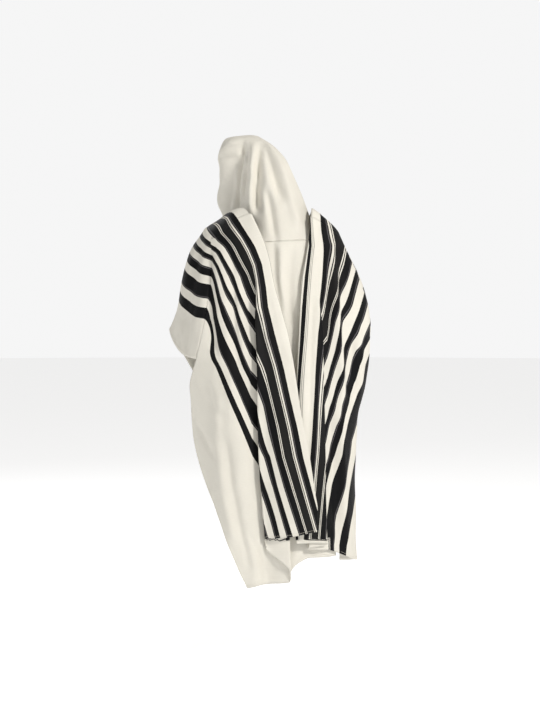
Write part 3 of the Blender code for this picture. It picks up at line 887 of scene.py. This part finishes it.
def steps_of(stripes):
    """The ramp edges of a table of stripes."""
    steps = [(0.0, 0.0)]
    for first, last, depth in stripes:
        steps += [(first, depth), (last, 0.0)]
    return steps


def woven_wool(settings):
    """Cream wool with black stripes, from the map of threads."""
    material = bpy.data.materials.new("striped wool")
    material.use_nodes = True
    tree = material.node_tree
    shader = tree.nodes["Principled BSDF"]
    coord = tree.nodes.new("ShaderNodeTexCoord")
    threads = tree.nodes.new("ShaderNodeUVMap")
    threads.uv_map = "threads"
    split = tree.nodes.new("ShaderNodeSeparateXYZ")
    tree.links.new(threads.outputs[0], split.inputs[0])
    u, v = split.outputs[0], split.outputs[1]
    place = sums(tree, "DIVIDE", u, STRIPED_END)
    pins = [(0.0, 0.0)]
    for first, last, depth in STRIPES[:8]:
        pins += [(first + PIN[0], 1.0), (first + PIN[1], 0.0)]
        if depth == 1.0 and last < 0.5:
            pins += [(last - PIN[1], 1.0), (last - PIN[0], 0.0)]
    black = bands(tree, place, steps_of(STRIPES))
    pin = bands(tree, place, pins)
    split_line = bands(tree, place, steps_of(FINE_LINES))
    cloud = node(tree, "ShaderNodeTexNoise", Vector=coord.outputs["Object"], Scale=5.0, Detail=4.0)
    slub_u, slub_v = sums(tree, "MULTIPLY", u, 60.0), sums(tree, "MULTIPLY", v, 900.0)
    slub = node(tree, "ShaderNodeCombineXYZ", X=slub_u, Y=slub_v)
    thread = node(tree, "ShaderNodeTexNoise", Vector=slub.outputs[0], Scale=1.0, Detail=2.0)
    cream = mixed_colour(tree, cloud.outputs[0], shaded(settings.cream, 0.88), shaded(settings.cream, 1.06))
    slubbed = mixed_colour(tree, 0.12, cream, thread.outputs[0], "MULTIPLY")
    striped = mixed_colour(tree, sums(tree, "MAXIMUM", black, split_line), slubbed, settings.black)
    pinned = mixed_colour(tree, sums(tree, "MULTIPLY", pin, black), striped, settings.pinstripe)
    tree.links.new(pinned, shader.inputs["Base Color"])
    smoother = sums(tree, "MULTIPLY", black, 0.30)
    tree.links.new(sums(tree, "SUBTRACT", 0.88, smoother), shader.inputs["Roughness"])
    shader.inputs["Sheen Weight"].default_value = 0.015
    shader.inputs["Sheen Roughness"].default_value = 0.4
    shader.inputs["Specular IOR Level"].default_value = 0.13
    turn = 2 * math.pi / settings.thread
    weft = sums(tree, "SINE", sums(tree, "MULTIPLY", u, turn))
    warp = sums(tree, "SINE", sums(tree, "MULTIPLY", v, turn))
    weave = sums(tree, "MULTIPLY", weft, warp)
    rib = sums(tree, "SINE", sums(tree, "MULTIPLY", v, turn / 2))
    cover = sums(tree, "ADD", weave, sums(tree, "MULTIPLY", sums(tree, "MULTIPLY", rib, black), 0.8))
    crumple = node(tree, "ShaderNodeTexNoise", Vector=coord.outputs["Object"], Scale=22.0, Detail=3.0)
    soft = node(tree, "ShaderNodeBump", Strength=0.35, Distance=0.006, Height=crumple.outputs[0])
    fine = node(tree, "ShaderNodeBump", Strength=0.5, Distance=0.0003, Height=cover, Normal=soft.outputs[0])
    tree.links.new(fine.outputs[0], shader.inputs["Normal"])
    return material


def plain(name, value, rough):
    material = bpy.data.materials.new(name)
    material.use_nodes = True
    shader = material.node_tree.nodes["Principled BSDF"]
    shader.inputs["Base Color"].default_value = value
    shader.inputs["Roughness"].default_value = rough
    return material


MADE = {}


def wool(settings):
    """The one woven finish, made on first use."""
    if "striped wool" not in bpy.data.materials:
        woven_wool(settings)
    return bpy.data.materials["striped wool"]


def hem_distance(grid):
    """Metres from each point to the end of its column."""
    step = np.linalg.norm(np.diff(grid, axis=1), axis=2)
    back = np.cumsum(step[:, ::-1], axis=1)[:, ::-1]
    return np.concatenate([back, np.zeros((len(grid), 1))], axis=1)


def drop_pieces(side, settings):
    """One striped end of the shawl: the hanging drop and the stretch round the side."""
    name = "left" if side > 0 else "right"
    counts = LEFT_COLUMNS if side > 0 else RIGHT_COLUMNS
    coarse = drop_grid(side, *counts, DROP_ROWS)
    k = settings.fineness
    kinds = [kind for kind, _ in drop_columns(*counts)]
    fine_kinds = [kinds[min(c // k, len(kinds) - 1)] for c in range((len(kinds) - 1) * k + 1)]
    drop = refined(coarse, k)
    woven = drop_woven(side, drop, fine_kinds)
    along = -drop[..., 2]
    shaped = creased(name + "_drop", drop, BACK_AXIS)
    cloth(
        name + "_end", name + "_drop", shaped, woven, along, hem_distance(shaped),
        wool(settings), settings.thickness,
    )
    MADE[name + "_drop"] = shaped
    table = LEFT_FRONT if side > 0 else RIGHT_FRONT
    front = refined(front_grid(coarse, table, SLEEVE_END, ARM_ROWS), k)
    rows = [r for r in range(coarse.shape[1]) if coarse[0][r][2] > SLEEVE_END]
    columns = coarse.shape[0] - len(tuck_path(1, 1)) + 1
    at_join = [woven[0, r * k] for r in rows[::-1]] + [woven[c * k, 0] for c in range(1, columns)]
    at_join = np.interp(np.arange(front.shape[0]) / k, np.arange(len(at_join)), at_join)
    woven = np.repeat(at_join[:, None], front.shape[1], axis=1)
    lengths = hem_distance(front)
    along = -front[:, -1:, 2] + lengths
    shaped = creased(name + "_front", front, ARM_AXIS)
    held = np.clip(lengths / 0.05, 0, 1)[..., None]
    shaped = shaped * held + creased(name + "_drop", front, BACK_AXIS) * (1 - held)
    edge = np.linalg.norm(front - front[:1], axis=2)
    cloth(name + "_arm", name + "_front", shaped, woven, along, edge, wool(settings), settings.thickness)
    MADE[name + "_front"] = shaped


class ShawlSettings(bpy.types.PropertyGroup):
    """Sizes and colours of the shawl."""

    cream: bpy.props.FloatVectorProperty(
        name="Cream", description="Colour of the ground", subtype="COLOR", size=4,
        default=(0.77, 0.74, 0.66, 1.0), min=0.0, max=1.0,
    )
    black: bpy.props.FloatVectorProperty(
        name="Black", description="Colour of the stripes", subtype="COLOR", size=4,
        default=(0.0022, 0.0021, 0.0027, 1.0), min=0.0, max=1.0,
    )
    pinstripe: bpy.props.FloatVectorProperty(
        name="Pinstripe", description="Colour of the fine lines in the stripes", subtype="COLOR", size=4,
        default=(0.08, 0.075, 0.078, 1.0), min=0.0, max=1.0,
    )
    thickness: bpy.props.FloatProperty(
        name="Cloth thickness", description="Thickness of the cloth with its loft", unit="LENGTH",
        default=0.0014, min=0.0005, max=0.004, precision=4,
    )
    thread: bpy.props.FloatProperty(
        name="Thread pitch", description="Distance between threads of one kind", unit="LENGTH",
        default=0.0022, min=0.0005, max=0.01, precision=4,
    )
    fineness: bpy.props.IntProperty(
        name="Fineness", description="Rows of the dressed cloth for each row of its solid",
        default=6, min=2, max=8,
    )
    stitch_spacing: bpy.props.FloatProperty(
        name="Stitch spacing", description="Distance between hem stitches", unit="LENGTH",
        default=0.0045, min=0.002, max=0.02, precision=4,
    )
    stitch_length: bpy.props.FloatProperty(
        name="Stitch length", description="Length of one hem stitch", unit="LENGTH",
        default=0.0032, min=0.001, max=0.01, precision=4,
    )


class SHAWL_OT_hood(bpy.types.Operator):
    """Make the hood"""

    bl_idname = "shawl.hood"
    bl_label = "Hood"

    def execute(self, context):
        settings = context.scene.shawl
        grid = refined(hood_grid(*HOOD_SIZE), settings.fineness)
        across = np.cumsum(np.linalg.norm(np.diff(grid, axis=0, prepend=grid[:1]), axis=2), axis=0)
        down = np.cumsum(np.linalg.norm(np.diff(grid, axis=1, prepend=grid[:, :1]), axis=2), axis=1)
        shaped = creased("hood", grid, HOOD_AXIS)
        hold = np.linspace(1, 0, grid.shape[1])[None, :, None]
        hold = np.clip(hold * 12, 0, 1)
        shaped = shaped * hold + creased("back_panel", grid, BACK_AXIS) * (1 - hold)
        x, y = seen(grid)
        edge = np.clip((234 - x) / 14, 0, 1)
        shaped[..., 0] += edge * 0.007 * np.exp(-((y - 190) / 11) ** 2)
        shaped[..., 0] -= edge * 0.006 * np.exp(-((y - 209) / 8) ** 2)
        over = np.clip(1 - hem_distance(grid) / 0.05, 0, 1) ** 2
        shaped[..., 1] += 0.0021 * over
        shaped[..., 2] -= over * (0.004 + 0.022 * np.clip((0.150 - grid[..., 0]) / 0.15, 0, 1) ** 2)
        cloth("hood_cloth", "hood", shaped, 0.70 + across, down, np.full(across.shape, 1.0),
              wool(settings), settings.thickness)
        MADE["hood"] = shaped
        return {"FINISHED"}


class SHAWL_OT_back(bpy.types.Operator):
    """Make the centre of the back"""

    bl_idname = "shawl.back"
    bl_label = "Back"

    def execute(self, context):
        settings = context.scene.shawl
        grid = refined(back_grid(*BACK_SIZE), settings.fineness)
        across = np.cumsum(np.linalg.norm(np.diff(grid, axis=0, prepend=grid[:1]), axis=2), axis=0)
        shaped = creased("back_panel", grid, BACK_AXIS)
        cloth("back_cloth", "back_panel", shaped, 0.70 + across, -grid[..., 2], hem_distance(shaped),
              wool(settings), settings.thickness)
        MADE["back_panel"] = shaped
        return {"FINISHED"}


class SHAWL_OT_left_end(bpy.types.Operator):
    """Make the striped left end"""

    bl_idname = "shawl.left_end"
    bl_label = "Left end"

    def execute(self, context):
        drop_pieces(1, context.scene.shawl)
        return {"FINISHED"}


class SHAWL_OT_right_end(bpy.types.Operator):
    """Make the striped right end"""

    bl_idname = "shawl.right_end"
    bl_label = "Right end"

    def execute(self, context):
        drop_pieces(-1, context.scene.shawl)
        return {"FINISHED"}


def stitch_tree(thread):
    """Stitches along a curve: spacing, length and width are named inputs."""
    tree = bpy.data.node_groups.new("hem stitches", "GeometryNodeTree")
    face = tree.interface
    face.new_socket("Geometry", in_out="INPUT", socket_type="NodeSocketGeometry")
    for name in ("Spacing", "Stitch length", "Stitch width"):
        face.new_socket(name, in_out="INPUT", socket_type="NodeSocketFloat")
    face.new_socket("Geometry", in_out="OUTPUT", socket_type="NodeSocketGeometry")
    new, link = tree.nodes.new, tree.links.new
    start, end = new("NodeGroupInput"), new("NodeGroupOutput")
    points = new("GeometryNodeCurveToPoints")
    points.mode = "LENGTH"
    link(start.outputs["Geometry"], points.inputs["Curve"])
    link(start.outputs["Spacing"], points.inputs["Length"])
    bead = new("GeometryNodeMeshUVSphere")
    bead.inputs["Segments"].default_value = 6
    bead.inputs["Rings"].default_value = 5
    bead.inputs["Radius"].default_value = 0.5
    size = new("ShaderNodeCombineXYZ")
    link(start.outputs["Stitch width"], size.inputs[0])
    link(start.outputs["Stitch width"], size.inputs[1])
    link(start.outputs["Stitch length"], size.inputs[2])
    shaped = new("GeometryNodeTransform")
    link(bead.outputs["Mesh"], shaped.inputs["Geometry"])
    link(size.outputs[0], shaped.inputs["Scale"])
    lay = new("GeometryNodeInstanceOnPoints")
    link(points.outputs["Points"], lay.inputs["Points"])
    link(shaped.outputs[0], lay.inputs["Instance"])
    link(points.outputs["Rotation"], lay.inputs["Rotation"])
    real = new("GeometryNodeRealizeInstances")
    link(lay.outputs[0], real.inputs[0])
    finish = new("GeometryNodeSetMaterial")
    finish.inputs["Material"].default_value = thread
    link(real.outputs[0], finish.inputs["Geometry"])
    link(finish.outputs[0], end.inputs[0])
    return tree


def hem_lines(settings):
    """Where the hems are sewn, just off the outer face of the cloth."""
    runs = []
    lift = settings.thickness * 0.85 + 0.0004
    for name in ("left_drop", "right_drop", "back_panel"):
        base = in_world(MADE[name])
        n = grid_normals(base)
        far = hem_distance(MADE[name])
        for sign in (1, -1):
            run = []
            for c in range(0, len(base), 2):
                r = int(np.argmin(np.abs(far[c] - HEM)))
                point = base[c, r] + n[c, r] * lift * sign
                share = c / (len(base) - 1)
                if name != "back_panel" and (0.22 < share < 0.52 or share > 0.79):
                    continue   # the hidden layers of a drop
                if run and np.linalg.norm(point - run[-1]) > 0.016:
                    runs.append(run)
                    run = []
                run.append(point)
            runs.append(run)
    for name in ("left_front", "right_front"):
        base = in_world(MADE[name])
        n = grid_normals(base)
        gap = np.linalg.norm(base - base[:1], axis=2)
        for sign in (1, -1):
            run = []
            for r in range(0, base.shape[1], 2):
                c = int(np.argmin(np.abs(gap[:, r] - HEM)))
                run.append(base[c, r] + n[c, r] * lift * sign)
            runs.append(run)
    return [run for run in runs if len(run) > 2]


class SHAWL_OT_stitches(bpy.types.Operator):
    """Sew the hems"""

    bl_idname = "shawl.stitches"
    bl_label = "Hem stitches"

    def execute(self, context):
        settings = context.scene.shawl
        thread = plain("hem thread", (0.70, 0.66, 0.57, 1.0), 0.7)
        curve = bpy.data.curves.new("hem line", "CURVE")
        curve.dimensions = "3D"
        for run in hem_lines(settings):
            spline_made = curve.splines.new("POLY")
            spline_made.points.add(len(run) - 1)
            for point, p in zip(spline_made.points, run):
                point.co = (*p, 1.0)
        line = bpy.data.objects.new("hem line", curve)
        context.scene.collection.objects.link(line)
        tree = stitch_tree(thread)
        sew = line.modifiers.new("stitches", "NODES")
        sew.node_group = tree
        values = {
            "Spacing": settings.stitch_spacing,
            "Stitch length": settings.stitch_length,
            "Stitch width": 0.0009,
        }
        for item in tree.interface.items_tree:
            if item.in_out == "INPUT" and item.name in values:
                sew[item.identifier] = values[item.name]
        context.view_layer.update()
        evaluated = line.evaluated_get(context.evaluated_depsgraph_get())
        mesh = bpy.data.meshes.new_from_object(evaluated)
        bpy.data.objects.remove(line)
        mesh.name = "hem_stitches"
        piece = bpy.data.objects.new("hem_stitches", mesh)
        context.scene.collection.objects.link(piece)
        if len(mesh.polygons) == 0:
            raise RuntimeError("the hems have no stitches")
        mesh.polygons.foreach_set("use_smooth", [True] * len(mesh.polygons))
        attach(piece, "root")
        return {"FINISHED"}


FLOOR = (30.0, -1.72)   # radius and height
AIM = (-0.04, 0.09, -0.75)
LIGHTS = (
    ("key", (-2.6, 4.2, 2.6), 1.0, 250.0, (1.0, 0.98, 0.95)),
    ("side", (4.4, 1.6, 1.4), 2.2, 45.0, (1.0, 1.0, 1.0)),
    ("front", (0.8, -4.0, 2.0), 3.0, 50.0, (1.0, 1.0, 1.0)),
)
VIEW_ANGLES = (163.0, 2.0)   # round from the open front, and up
VIEW_AIM = (-0.0417, 0.0859, -0.7345)


def area_light(name, place, size, power, colour):
    light = bpy.data.lights.new(name, "AREA")
    light.shape = "DISK"
    light.size = size
    light.energy = power
    light.color = colour
    made = bpy.data.objects.new(name, light)
    bpy.context.scene.collection.objects.link(made)
    made.location = place
    made.rotation_euler = (Vector(AIM) - Vector(place)).to_track_quat("-Z", "Y").to_euler()


class SHAWL_OT_stage(bpy.types.Operator):
    """Set the floor, the lights and the camera"""

    bl_idname = "shawl.stage"
    bl_label = "Stage"

    def execute(self, context):
        scene = context.scene
        mesh = bpy.data.meshes.new("floor")
        turns = [2 * math.pi * k / 48 for k in range(48)]
        ring = [(FLOOR[0] * math.cos(a), FLOOR[0] * math.sin(a), FLOOR[1]) for a in turns]
        mesh.from_pydata(ring, [], [tuple(range(48))])
        pale = plain("pale floor", (0.80, 0.80, 0.80, 1.0), 0.9)
        glow = pale.node_tree.nodes["Principled BSDF"].inputs
        glow["Emission Color"].default_value = (1.0, 1.0, 1.0, 1.0)
        glow["Emission Strength"].default_value = 0.60
        mesh.materials.append(pale)
        floor = bpy.data.objects.new("floor", mesh)
        scene.collection.objects.link(floor)
        world_made = bpy.data.worlds.new("studio")
        world_made.use_nodes = True
        tree = world_made.node_tree
        ambient = tree.nodes["Background"]
        ambient.inputs[0].default_value = (1.0, 0.99, 0.975, 1.0)
        ambient.inputs[1].default_value = 0.32
        backdrop = tree.nodes.new("ShaderNodeBackground")
        backdrop.inputs[0].default_value = (1.0, 1.0, 1.0, 1.0)
        backdrop.inputs[1].default_value = 0.92
        path = tree.nodes.new("ShaderNodeLightPath")
        mixed = tree.nodes.new("ShaderNodeMixShader")
        tree.links.new(path.outputs["Is Camera Ray"], mixed.inputs[0])
        tree.links.new(ambient.outputs[0], mixed.inputs[1])
        tree.links.new(backdrop.outputs[0], mixed.inputs[2])
        tree.links.new(mixed.outputs[0], tree.nodes["World Output"].inputs[0])
        scene.world = world_made
        for light in LIGHTS:
            area_light(*light)
        camera = bpy.data.cameras.new("camera")
        camera.sensor_width = 36.0
        camera.lens = camera.sensor_width * VIEW_DISTANCE / (VIEW_HEIGHT * PIXEL)
        made = bpy.data.objects.new("camera", camera)
        scene.collection.objects.link(made)
        round_it, rise = (math.radians(angle) for angle in VIEW_ANGLES)
        level = math.cos(rise)
        look = Vector((-math.sin(round_it) * level, math.cos(round_it) * level, -math.sin(rise)))
        made.location = Vector(VIEW_AIM) - look * VIEW_DISTANCE
        made.rotation_euler = look.to_track_quat("-Z", "Y").to_euler()
        scene.camera = made
        scene.view_settings.view_transform = "Standard"
        return {"FINISHED"}


class SHAWL_PT_panel(bpy.types.Panel):
    """The shawl's pieces and sizes"""

    bl_idname = "SHAWL_PT_panel"
    bl_label = "Tallit prayer shawl"
    bl_space_type = "VIEW_3D"
    bl_region_type = "UI"
    bl_category = "Shawl"

    def draw(self, context):
        column = self.layout.column()
        for name in SHOWN:
            column.prop(context.scene.shawl, name)
        for operator in STEPS:
            column.operator(operator.bl_idname)


SHOWN = (
    "cream", "black", "pinstripe", "thickness", "thread", "fineness", "stitch_spacing", "stitch_length",
)
STEPS = (
    SHAWL_OT_hood, SHAWL_OT_back, SHAWL_OT_left_end, SHAWL_OT_right_end,
    SHAWL_OT_stitches, SHAWL_OT_stage,
)
CLASSES = (ShawlSettings, *STEPS, SHAWL_PT_panel)


def register():
    for made in CLASSES:
        bpy.utils.register_class(made)
    bpy.types.Scene.shawl = bpy.props.PointerProperty(type=ShawlSettings)


def unregister():
    del bpy.types.Scene.shawl
    for made in reversed(CLASSES):
        bpy.utils.unregister_class(made)


def main():
    register()
    bpy.ops.shawl.hood()
    bpy.ops.shawl.back()
    bpy.ops.shawl.left_end()
    bpy.ops.shawl.right_end()
    bpy.ops.shawl.stitches()
    bpy.ops.shawl.stage()


if __name__ == "__main__":
    main()
